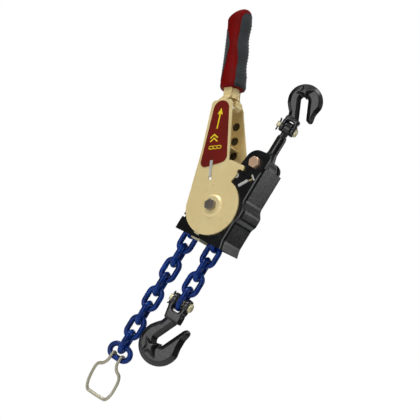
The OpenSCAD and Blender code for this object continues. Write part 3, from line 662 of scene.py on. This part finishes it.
@dataclass
class GrabHook(ForgedPiece):
    """A clevis grab hook: flat forged body, narrow slot, cradle ribs and two rounded ears."""

    pin_height: float = 0.0
    twist: float = 0.0
    upright: bool = False
    seat: Spot = (4.0, -76.0)
    centre: Spot = (5.0, -81.5)
    radius: float = 40.0
    finger: float = 1.18
    slot: float = 16.5
    lean: float = 25.0
    half: float = 9.5
    gap: float = 15.0
    ear: float = 10.0
    ear_radius: float = 13.0
    yoke: float = 11.5
    ear_edge: float = 2.2
    yoke_edge: float = 3.2
    rim_share: float = 0.8
    star_arms: tuple[float, ...] = (0.60, 0.27, 0.46, 0.25)
    star_rise: float = 0.95
    star_taper: float = 0.42
    star_root: float = 2.0
    star_back: float = 0.50
    star_turn: float = 38.0

    def outline(self) -> list[Spot]:
        """The body's rim in its own plane, in millimetres."""
        f = self.finger
        rim = [(-0.46, 1.32), (-0.44, 1.14), (-0.50, 0.95), (-0.68, 0.76), (-0.86, 0.53)]
        rim += [on_circle(a) for a in range(162, 356, 8)]
        rim += [(0.965, 0.10), (0.93, 0.28), (0.93, f - 0.50), (0.975, f - 0.26)]
        rim += [(0.985, f - 0.15), (0.945, f - 0.05), (0.85, f), (0.74, f - 0.02)]
        (sx, sz), (cx, cz) = self.seat, self.centre
        points = [(cx + u * self.radius, cz + v * self.radius) for u, v in rim]
        c, s = on_circle(self.lean)
        tip = points[-1]
        reach = (tip[0] - sx) * s + (tip[1] - sz) * c - 0.13 * self.radius
        wide = self.slot / 2
        points.append((sx + wide * c + reach * s, sz - wide * s + reach * c))
        for a in range(0, -181, -20):
            u, v = on_circle(a, wide)
            points.append((sx + u * c + v * s, sz - u * s + v * c))
        top = cz + 1.32 * self.radius
        rise = (top - (sz + wide * s)) / c
        points.append((sx - wide * c + rise * s, top))
        return points

    def cradle(self, side: int) -> Shape:
        """The crossed ribs behind the slot, which spread to a star as they stand out."""
        shape = bmesh.new()
        bmesh.ops.create_circle(shape, cap_ends=True, segments=8, radius=1.0)
        for vert in shape.verts:
            turn = round(math.degrees(math.atan2(vert.co.y, vert.co.x)) / 45.0) % 4
            vert.co *= self.star_arms[turn] * self.radius * MM
        top = draw_out(shape, shape.faces[:], (0.0, 0.0, self.half * self.star_rise * MM))
        bmesh.ops.scale(shape, verts=top, vec=(self.star_taper, self.star_taper, 1.0))
        foot = [v for v in shape.verts if v not in top]
        bmesh.ops.translate(shape, verts=foot, vec=(0.0, 0.0, -self.star_root * MM))
        c, s = on_circle(self.lean)
        back = self.star_back * self.radius
        middle = Vector((self.seat[0] - back * s, side * self.half, self.seat[1] - back * c))
        place = Matrix.Translation(middle * MM) @ about("Y", self.star_turn) @ about("X", -90.0 * side)
        put(shape, place)
        return outward(shape)

    def clevis(self) -> Shape:
        """The two ears and the yoke that joins them to the neck."""
        shape = bmesh.new()
        inner, outer = self.gap / 2, self.gap / 2 + self.ear
        foot = -self.ear_radius * 1.45
        neck = self.centre[1] + 1.14 * self.radius
        left = self.centre[0] - 0.45 * self.radius
        right = self.seat[0] - self.slot * 0.45 + 2.0
        right += (neck - self.seat[1]) * math.tan(math.radians(self.lean))
        deep = inner * 0.75
        hollow = [(u * inner, foot + deep + deep * v) for u, v in map(on_circle, range(0, -181, -20))]
        yoke = [(outer, 0.0), (inner, 0.0)] + hollow + [(-inner, 0.0), (-outer, 0.0), (-outer, foot * 0.72)]
        yoke += [(-outer * 0.93, foot * 0.95), ((left - outer) / 2, foot - 5.5), (left, neck), (right, neck)]
        yoke += [((right + outer) / 2, foot - 5.5), (outer * 0.93, foot * 0.95), (outer, foot * 0.72)]
        gather(shape, slab(yoke, -self.yoke, self.yoke, self.yoke_edge))
        for side in (1, -1):
            ear = bmesh.new()
            bmesh.ops.create_cone(ear, cap_ends=True, segments=48, radius1=self.ear_radius * MM,
                                  radius2=self.ear_radius * MM, depth=self.ear * MM)
            soften(ear, level_edges(ear, 2), self.ear_edge, 3)
            place = Matrix.Translation((side * (inner + self.ear / 2) * MM, 0.0, 0.0)) @ about("Y", 90.0)
            put(ear, place)
            gather(shape, ear)
        return shape

    def blank(self) -> Shape:
        """Body, cradle and clevis in their place, not yet one skin."""
        shape = bmesh.new()
        gather(shape, slab(self.outline(), -self.half, self.half, self.half * self.rim_share, 1))
        for side in (1, -1):
            gather(shape, self.cradle(side))
        gather(shape, self.clevis())
        place = Matrix.Translation((0.0, 0.0, self.pin_height * MM)) @ about("Z", self.twist)
        if self.upright:
            place = place @ about("X", 180.0)
        put(shape, place)
        return shape


@dataclass
class DrawnWire:
    """A node of round wire, made round from its few flat sides, its foot drawn down where asked."""

    node: str
    swell: float
    levels: int = 2
    finish: Plating | None = None
    drop: float = 0.0
    drop_from: float = 0.0
    spread: float = 0.05

    def dress(self) -> None:
        """Builds the piece and puts it in place of its node."""
        shape = node_shape(self.node)
        for vert in shape.verts:
            vert.co += vert.normal * self.swell * MM
        if self.drop:
            low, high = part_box(self.node)
            start, middle = self.drop_from * MM, (low.x + high.x) / 2
            for vert in shape.verts:
                share = max(0.0, (start - vert.co.z) / (start - low.z))
                vert.co.z -= share * self.drop * MM
                vert.co.x += (vert.co.x - middle) * self.spread * min(1.0, share)
        piece = stand_in(self.node, shape, self.finish, ALL_SMOOTH)
        modify(piece, "round", "SUBSURF", levels=self.levels, render_levels=self.levels)


# ---- chain


@dataclass
class ChainLink:
    """One welded link of round steel, 10 mm wire on a 30 mm pitch."""

    node: str
    turn: Matrix
    wire: float = 10.0
    bend: float = 12.0
    straight: float = 16.6
    sides: int = 20
    steps: int = 14
    weld_swell: float = 1.09
    weld_depths: tuple[float, ...] = (0.30, 0.43, 0.46, 0.54, 0.57, 1.0)
    welded: tuple[float, ...] = (0.46, 0.54)
    rubbed_share: float = 0.72

    def build(self) -> Shape:
        """The link in its own plane, X across and Z along, with its weld on one side."""
        half = self.straight / 2 * MM
        bend = self.bend * MM
        shape = bmesh.new()
        shape.verts.layers.float.new("edge")
        bmesh.ops.create_circle(shape, segments=self.sides, radius=self.wire / 2 * MM,
                                matrix=Matrix.Translation((bend, 0.0, half)))
        loop = shape.edges[:]
        for side in (1, -1):
            made = bmesh.ops.spin(shape, geom=loop, cent=(0.0, 0.0, side * half), axis=(0.0, 1.0, 0.0),
                                  angle=-math.pi, steps=self.steps)
            loop = [g for g in made["geom_last"] if isinstance(g, Edge)]
            at = 0.0
            for depth in self.weld_depths if side == 1 else (1.0,):
                made = bmesh.ops.extrude_edge_only(shape, edges=loop)
                verts = [g for g in made["geom"] if isinstance(g, Vert)]
                loop = [g for g in made["geom"] if isinstance(g, Edge)
                        and all(v in verts for v in g.verts)]
                bmesh.ops.translate(shape, verts=verts, vec=(0.0, 0.0, -side * (depth - at) * 2 * half))
                swell = self.weld_swell if depth in self.welded else 1.0
                for vert in verts:
                    arm = Vector((vert.co.x + side * bend, vert.co.y)).normalized()
                    arm *= self.wire / 2 * MM * swell
                    vert.co.x, vert.co.y = arm.x - side * bend, arm.y
                at = depth
        bmesh.ops.remove_doubles(shape, verts=shape.verts, dist=1e-5)
        outward(shape)
        inside = bend * self.rubbed_share
        set_mark(shape, [v for v in shape.verts if abs(v.co.z) > half
                         and Vector((v.co.x, abs(v.co.z) - half)).length < inside])
        return shape

    def dress(self) -> None:
        """Builds the link and puts it in place of its node."""
        low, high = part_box(self.node)
        shape = self.build()
        put(shape, Matrix.Translation((low + high) / 2) @ self.turn)
        stand_in(self.node, shape, sharp=ALL_SMOOTH)


@dataclass
class ChainSet:
    """The load fall, the tail fall and the turn over the wheel."""

    twist: float = 18.0
    tail: int = 11
    load: int = 6
    wrap_angles: tuple[float, ...] = (150.0, 90.0, 30.0)

    def fall_turn(self, number: int) -> Matrix:
        """A hanging link's turn about the load line."""
        twist = 0.0 if number < 3 else self.twist / 2 if number == 3 else self.twist
        return about("Z", twist + (90.0 if number % 2 == 0 else 0.0))

    def dress(self) -> None:
        """Builds every link."""
        for number in range(1, self.load + 1):
            ChainLink(f"load_link_{number}", self.fall_turn(number)).dress()
        for number in range(1, self.tail):
            ChainLink(f"tail_link_{number}", self.fall_turn(number)).dress()
        ChainLink(f"tail_link_{self.tail}", self.fall_turn(self.tail) @ about("Y", 90.0)).dress()
        for number, angle in enumerate(self.wrap_angles, start=1):
            upright = about("Z", 90.0 if number != 2 else 0.0)
            ChainLink(f"wrap_link_{number}", about("Y", -angle) @ upright).dress()


# ---- lever


@dataclass(frozen=True)
class LeverPlane:
    """The lever's own directions: across towards the shank, along towards the grip, and depth."""

    axle: Spot = (-30.0, -243.0)
    slant: float = 30.5

    def at(self, across: float, along: float, depth: float) -> Vector:
        """A point in metres from the lever's own millimetres."""
        c, s = on_circle(self.slant)
        x, z = self.axle
        return Vector((x + across * c - along * s, depth, z + across * s + along * c)) * MM


PLANE = LeverPlane()


@dataclass
class PaintedShadePans:
    """Shallow dark pans that close the far cheek's round openings: painted shade, a dark sheet that stands
    for the shadowed inside seen through them.
    """

    across: float = -8.0
    along: tuple[float, ...] = (116.0, 144.0, 172.0)
    radius: float = 8.05
    sides: int = 40
    inner: float = 33.4
    outer: float = 34.4

    def dress(self) -> None:
        """Builds the pans."""
        shape = bmesh.new()
        shape.verts.layers.float.new("edge")
        for along in self.along:
            rim = []
            for i in range(self.sides):
                u, v = on_circle(360.0 * i / self.sides, self.radius)
                spot = PLANE.at(self.across + u, along + v, 0.0) / MM
                rim.append((spot.x, spot.z))
            gather(shape, slab(rim, self.inner, self.outer, 0.0))
        # The pans are painted shade: a dark zinc sheet where the openings would show only shadow.
        hand_over("cheek_painted_shade_pans", shape, "lever", Slot.YELLOW, finish=PAINTED_SHADE_ZINC)


@dataclass
class GripHandle:
    """The two-shot handle: a red core with a slanted cap and two soft grey panels."""

    start: float = 231.0
    length: float = 155.0
    waist: float = 21.5
    middle: float = -4.0
    proud: float = 0.9
    inset: float = 1.2
    rows: int = 72
    sides: int = 96
    panel_rows: int = 90
    panel_columns: int = 44
    wave_height: float = 1.2
    wave_at: float = 0.47
    wave_pitch: float = 0.36
    wave_from: float = 0.10
    wave_to: float = 0.92
    cap_from: float = 0.72
    cap_slope: float = 0.50
    cap_drop: float = 5.5
    wall: float = 2.2
    rim: float = 0.7
    nub_radius: float = 1.25
    nub_turns: tuple[float, ...] = (62.0, 82.0, 102.0, 122.0)

    def radius(self, t: float) -> float:
        """The handle's half width at a share t of its length."""
        swell = 3.5 * ((0.58 - t) / 0.58) ** 2 if t < 0.58 else 1.8 * ((t - 0.58) / 0.42) ** 2
        ends = 3.5 * (1 - t / 0.05) ** 2 if t < 0.05 else 0.0
        ends += 9.0 * ((t - 0.92) / 0.08) ** 2 if t > 0.92 else 0.0
        return self.waist + swell - ends

    def point(self, turn: float, t: float, lift: float) -> Vector:
        """A point of the surface.

        Args:
            turn: angle in degrees from the front towards the shank's side.
            t: share of the handle's length.
            lift: height in millimetres over the core's skin.

        Returns:
            The point in metres.
        """
        a = math.radians(turn)
        r = self.radius(t) - self.inset + lift
        if self.wave_from < t < self.wave_to:
            wave = math.cos(2 * math.pi * (t - self.wave_at) / self.wave_pitch) * max(0.0, math.sin(a))
            fade = min(1.0, (t - self.wave_from) / 0.1, (self.wave_to - t) / 0.08)
            r += self.wave_height * wave * fade
        across = r * math.sin(a)
        cap = max(0.0, (t - self.cap_from) / (1.0 - self.cap_from)) ** 1.5
        along = self.length * t + cap * (self.cap_slope * across - self.cap_drop)
        return PLANE.at(self.middle + across, self.start + along, -r * math.cos(a))

    def core(self) -> Shape:
        """The red core as a closed turned form, its cap drawn aslant."""
        shape = bmesh.new()
        stations = [i / self.rows for i in range(self.rows + 1)]
        column = [shape.verts.new((0.0, 0.0, 0.0))]
        column += [shape.verts.new((1.0, 0.0, 1.0 + i)) for i in range(len(stations))]
        column.append(shape.verts.new((0.0, 0.0, 2.0 + len(stations))))
        edges = [shape.edges.new(pair) for pair in zip(column, column[1:])]
        bmesh.ops.spin(shape, geom=column + edges, cent=(0.0, 0.0, 0.0), axis=(0.0, 0.0, 1.0),
                       angle=2 * math.pi, steps=self.sides, use_merge=True)
        bmesh.ops.remove_doubles(shape, verts=shape.verts, dist=1e-4)
        for vert in shape.verts:
            row = round(vert.co.z)
            angle = math.degrees(math.atan2(vert.co.x, -vert.co.y))
            if row == 0 or row > len(stations):
                end = 0.0 if row == 0 else 1.0
                low, high = self.point(-90.0, end, 0.0), self.point(90.0, end, 0.0)
                vert.co = (low + high) / 2
                continue
            vert.co = self.point(angle, stations[row - 1], 0.0)
        return outward(shape)

    @staticmethod
    def along(t: float, stops: Sequence[Spot]) -> float:
        """A smooth value between stops."""
        if t <= stops[0][0]:
            return stops[0][1]
        for (a, low), (b, high) in zip(stops, stops[1:]):
            if t <= b:
                share = (t - a) / (b - a)
                return low + (high - low) * (share * share * (3 - 2 * share))
        return stops[-1][1]

    def panel(self, side: int, from_t: float, to_t: float, edge: Sequence[Spot]) -> Shape:
        """A soft panel's outer skin.

        Args:
            side: 1 for the shank's side, -1 for the other.
            from_t: share of the length where it starts.
            to_t: share of the length where it ends.
            edge: angle of its front border from the front, along the length.

        Returns:
            The open skin, which a modifier gives its thickness.
        """
        shape = bmesh.new()
        bmesh.ops.create_grid(shape, x_segments=self.panel_columns, y_segments=self.panel_rows, size=1.0)
        for vert in shape.verts:
            t01 = (vert.co.y + 1) / 2
            round_off = 1.0 if side > 0 and t01 < 0.5 else (1 - abs(2 * t01 - 1) ** 14) ** (1 / 3.2)
            t = from_t + (to_t - from_t) * t01
            half = (90.0 - self.along(t, edge)) * max(round_off, 0.02)
            turn = side * (90.0 + vert.co.x * half)
            vert.co = self.point(turn, t, self.proud)
        return outward(shape)

    def nubs(self, side: int, from_t: float, to_t: float, count: int) -> Shape:
        """Rows of small raised nubs on a panel."""
        shape = bmesh.new()
        for row, turn in enumerate(self.nub_turns):
            for i in range(count):
                t = from_t + (to_t - from_t) * (i + 0.5 * (row % 2)) / count
                at = self.point(side * turn, t, self.proud - 0.3)
                out = (self.point(side * turn, t, 2.0) - self.point(side * turn, t, 0.0)).normalized()
                bmesh.ops.create_uvsphere(shape, u_segments=8, v_segments=5, radius=self.nub_radius * MM,
                                          matrix=aimed(at, out))
        return shape

    def dress(self) -> None:
        """Builds the core, the panels and their nubs."""
        core = hand_over("grip_core_shown", self.core(), "lever", Slot.GRIP, ["grip_core"], sharp=50.0)
        modify(core, "soft", "SUBSURF", levels=1, render_levels=1)
        right = ((0.0, 37.0), (0.14, 39.5), (0.34, 43.5), (0.54, 33.5), (0.75, 39.0), (0.93, 43.0))
        left = ((0.0, 60.0), (0.14, 40.0), (0.34, 21.0), (0.54, 9.5), (0.66, 22.0), (0.78, 52.0))
        panels = {"right": (1, 0.005, 0.925, right), "left": (-1, 0.10, 0.775, left)}
        for name, (side, from_t, to_t, edge) in panels.items():
            skin = self.panel(side, from_t, to_t, edge)
            piece = hand_over(f"grip_panel_{name}", skin, "lever", Slot.PAD, ["grip_pads"], sharp=60.0)
            modify(piece, "wall", "SOLIDIFY", thickness=self.wall * MM, offset=-1.0)
            modify(piece, "rim", "BEVEL", width=self.rim * MM, segments=2, limit_method="ANGLE",
                   angle_limit=math.radians(50.0))
        for name, side, from_t, to_t, count in (("right", 1, 0.16, 0.84, 17), ("left", -1, 0.24, 0.66, 11)):
            shape = self.nubs(side, from_t, to_t, count)
            hand_over(f"grip_nubs_{name}", shape, "lever", Slot.PAD, sharp=ALL_SMOOTH)


@dataclass
class LabelPrint:
    """The plate's plain print: an arrow towards the grip, two chevrons and a row of links."""

    depth: float = -35.0
    stroke: float = 2.6
    height: float = 0.12
    link_pitch: float = 8.0
    link_radii: Span = (3.4, 2.1)
    link_straight: float = 3.8
    link_sides: int = 28

    def strip(self, shape: Shape, line: Sequence[Spot], width: float) -> None:
        """Adds a mitred strip of print along a line of points in the lever's plane."""
        rails = []
        for i, (a, b) in enumerate(line):
            before = Vector(line[max(i - 1, 0)])
            after = Vector(line[min(i + 1, len(line) - 1)])
            here = Vector((a, b))
            first = (here - before).normalized() if i else (after - here).normalized()
            last = (after - here).normalized() if i < len(line) - 1 else first
            tangent = (first + last).normalized()
            side = Vector((-tangent.y, tangent.x)) * width / 2 / max(0.5, tangent.dot(first))
            rails.append([shape.verts.new(PLANE.at(*(here + side * s), self.depth)) for s in (1, -1)])
        for (a, b), (c, d) in zip(rails, rails[1:]):
            shape.faces.new((a, b, d, c))

    def arrow(self, foot: Spot, tip: Spot) -> Shape:
        """An arrow from its foot to its tip."""
        shape = bmesh.new()
        a, b = Vector(foot), Vector(tip)
        along = (b - a).normalized()
        across = Vector((-along.y, along.x))
        neck = b - along * 11.0
        self.strip(shape, [tuple(a), tuple(neck)], self.stroke)
        head = [neck + across * 5.6 - along * 1.5, neck, neck - across * 5.6 - along * 1.5, b]
        shape.faces.new([shape.verts.new(PLANE.at(*p, self.depth)) for p in head])
        return shape

    def chevrons(self, middle: Spot) -> Shape:
        """Two chevrons that point along the lever."""
        shape = bmesh.new()
        for rise in (-4.0, 3.0):
            a, b = middle
            low, high = b + rise - 4.0, b + rise + 2.5
            self.strip(shape, [(a - 7.5, low), (a, high), (a + 7.5, low)], 2.3)
        return shape

    def links(self, middle: Spot) -> Shape:
        """Three chain links in a row."""
        shape = bmesh.new()
        a, b = middle
        for step in (-self.link_pitch, 0.0, self.link_pitch):
            for radius in self.link_radii:
                corners = []
                for i in range(self.link_sides):
                    u, v = on_circle(360.0 * i / self.link_sides, radius)
                    push = math.copysign(self.link_straight / 2, u)
                    corners.append((a + step + push + u, b + v))
                ring = [shape.verts.new(PLANE.at(*p, self.depth)) for p in corners]
                for pair in zip(ring, ring[1:] + ring[:1]):
                    shape.edges.new(pair)
            bmesh.ops.bridge_loops(shape, edges=[e for e in shape.edges if not e.link_faces])
        return shape

    def dress(self) -> None:
        """Builds the print."""
        motifs = {"print_arrow": self.arrow((-5.5, 145.0), (-0.6, 184.0)),
                  "print_chevrons": self.chevrons((-9.5, 128.5)), "print_links": self.links((-5.5, 109.5))}
        for name, shape in motifs.items():
            for face in outward(shape).faces:
                if face.normal.y > 0:
                    face.normal_flip()
            bmesh.ops.solidify(shape, geom=shape.faces[:], thickness=self.height * MM)
            hand_over(name, shape, "lever", Slot.LABEL, finish=PRINT_YELLOW)


# ---- stage


@dataclass
class Studio:
    """Camera, soft lamps, pale floor and surroundings."""

    view_width: float = 0.7467
    lens: float = 200.0
    look_at: Triple = (-0.0528, 0.0, -0.2507)
    right: Triple = (0.6828, 0.5144, 0.5195)
    up: Triple = (-0.4151, -0.3127, 0.8545)
    back: Triple = (0.6020, -0.7990, 0.0)
    floor_drop: float = 0.80
    floor_radius: float = 1.6
    floor_tone: Colour = (0.86, 0.86, 0.86)
    fade: Span = (0.02, 0.28)
    room_tone: Colour = (0.93, 0.95, 1.0)
    room_light: float = 0.30
    mirror_greys: Span = (0.012, 0.50)
    mirror_heights: Span = (-0.05, 1.0)

    def camera(self) -> None:
        """A long lens that looks level at the tool, turned about its own axis."""
        data = bpy.data.cameras.new("camera")
        data.sensor_width = 36.0
        data.lens = self.lens
        data.clip_end = 50.0
        camera = add_object("camera", data)
        turn = Matrix((self.right, self.up, self.back)).transposed().to_4x4()
        distance = self.view_width * self.lens / data.sensor_width
        camera.matrix_world = Matrix.Translation(Vector(self.look_at) + Vector(self.back) * distance) @ turn
        bpy.context.scene.camera = camera

    def lamp(self, name: str, place: Triple, size: float, power: float) -> None:
        """A square softbox that faces the tool."""
        data = bpy.data.lights.new(name, "AREA")
        data.shape = "SQUARE"
        data.size = size
        data.energy = power
        lamp = add_object(name, data)
        lamp.matrix_world = aimed(Vector(place), Vector(place) - Vector(self.look_at))

    def world(self) -> None:
        """A pale room, white where the camera sees it."""
        s = Shader(bpy.data.worlds.new("room"))
        bpy.context.scene.world = s.owner
        place = s.add("ShaderNodeTexCoord", {}, {})
        split = s.add("ShaderNodeSeparateXYZ", {}, {0: place.outputs["Generated"]})
        low, high = self.mirror_heights
        span = {"Value": split.outputs[2], "From Min": low, "From Max": high}
        stops = tuple(zip((0.0, 1.0), self.mirror_greys))
        ramp = s.out("ShaderNodeValToRGB", {"stops": stops}, {0: s.out("ShaderNodeMapRange", {}, span)})
        mirror = s.out("ShaderNodeBackground", {}, {"Color": ramp})
        room = s.out("ShaderNodeBackground", {}, {"Color": self.room_tone, "Strength": self.room_light})
        white = s.out("ShaderNodeBackground", {}, {"Color": (1.0, 1.0, 1.0)})
        ray = s.add("ShaderNodeLightPath", {}, {}).outputs
        lit = s.out("ShaderNodeMixShader", {}, {0: ray["Is Glossy Ray"], 1: room, 2: mirror})
        direct = {0: ray["Is Camera Ray"], 1: ray["Is Transmission Ray"]}
        seen = s.out("ShaderNodeMath", {"operation": "MAXIMUM"}, direct)
        both = s.out("ShaderNodeMixShader", {}, {0: seen, 1: lit, 2: white})
        s.add("ShaderNodeOutputWorld", {}, {0: both})

    def floor(self) -> None:
        """A round pale floor that fades to white away from the tool's shadow."""
        shape = bmesh.new()
        bmesh.ops.create_circle(shape, cap_ends=True, segments=96, radius=self.floor_radius)
        bmesh.ops.translate(shape, verts=shape.verts, vec=(self.look_at[0], 0.0, -self.floor_drop))
        floor = add_object("floor", as_mesh("floor", shape))
        s = Shader.named("pale_floor")
        middle = (-self.look_at[0], 0.0, self.floor_drop)
        spot = s.out("ShaderNodeMapping", {}, {"Vector": s.coordinates(), "Location": middle})
        away = s.add("ShaderNodeVectorMath", {"operation": "LENGTH"}, {0: spot}).outputs["Value"]
        seen = Field(s, s.add("ShaderNodeLightPath", {}, {}).outputs["Is Camera Ray"])
        faded = Field(s, away).smooth(*self.fade) * seen
        plain = s.out("ShaderNodeBsdfDiffuse", {}, {"Color": self.floor_tone})
        white = s.out("ShaderNodeEmission", {}, {"Color": (1.0, 1.0, 1.0), "Strength": 1.0})
        mixed = s.out("ShaderNodeMixShader", {}, {0: faded, 1: plain, 2: white})
        s.add("ShaderNodeOutputMaterial", {}, {0: mixed})
        floor.data.materials.append(s.owner)

    def dress(self) -> None:
        """Sets the whole stage."""
        self.camera()
        self.world()
        self.floor()
        self.lamp("key_softbox", (-1.2, -1.5, 1.9), 1.1, 40.0)
        self.lamp("front_softbox", (0.35, -2.5, -0.1), 1.5, 18.0)
        self.lamp("side_softbox", (1.9, 1.7, 0.5), 1.3, 12.0)
        self.lamp("top_softbox", (0.5, -0.1, 2.2), 0.9, 12.0)
        self.lamp("back_softbox", (-0.9, 2.4, 0.7), 1.2, 9.0)
        bpy.context.scene.view_settings.view_transform = "Standard"


# ---- the tool

OWN_FINISH = {"chain_guide": PIN_ZINC, "top_hook_pin": PIN_ZINC, "load_hook_pin": PIN_ZINC,
              "axle_bolt": BOLT_STEEL}
MACHINED = (
    MachinedPiece("housing", 0.8, 3, 40.0),
    *(MachinedPiece(node, edge, finish=OWN_FINISH.get(node)) for node, edge in {
        "pivot_bolt": 0.5, "pivot_nut": 0.5, "pivot_spacers": 0.3, "cross_pin": 0.7, "chain_guide": 0.6,
        "spring_seat": 0.3, "top_hook_pin": 0.4, "load_hook_pin": 0.5, "axle_bolt": 0.5,
        "axle_nut": 0.5, "axle_washers": 0.3, "wheel_bushes": 0.25, "chain_wheel": 0.5,
        "front_ratchet": 0.4, "rear_ratchet": 0.4, "holding_pawl": 0.5, "drive_pawl": 0.5,
        "lever_body": 0.6, "label_plate": 0.25, "spring_bracket": 0.4, "handle_tube": 0.3,
        "finger_pull": 0.5}.items()),
)
FORGED = (
    GrabHook("top_hook", 0.6, pin_height=-58.0, twist=27.0, upright=True, seat=(0.0, -58.0),
             centre=(2.0, -57.5), radius=31.5, finger=0.98, slot=12.6, half=8.0, gap=12.8, ear=8.0,
             ear_radius=10.0, yoke=9.0),
    GrabHook("load_hook", pin_height=-417.77, twist=18.0),
    ForgedPiece("shank"),
)
WIRES = (DrawnWire("pull_ring", 0.42, finish=WIRE_ZINC, drop=14.0, drop_from=-566.0),
         DrawnWire("drive_spring", 0.12, 1), DrawnWire("holding_springs", 0.08, 1),
         DrawnWire("top_split_pin", 0.02, 1, DARK_STEEL), DrawnWire("load_split_pin", 0.02, 1, DARK_STEEL))


def main() -> None:
    """Builds every sub-assembly in order."""
    logging.basicConfig(level=logging.INFO, format="%(message)s")
    Studio().dress()
    for piece in MACHINED + FORGED + WIRES:
        piece.dress()
    ChainSet().dress()
    PaintedShadePans().dress()
    GripHandle().dress()
    LabelPrint().dress()


if __name__ == "__main__":
    main()
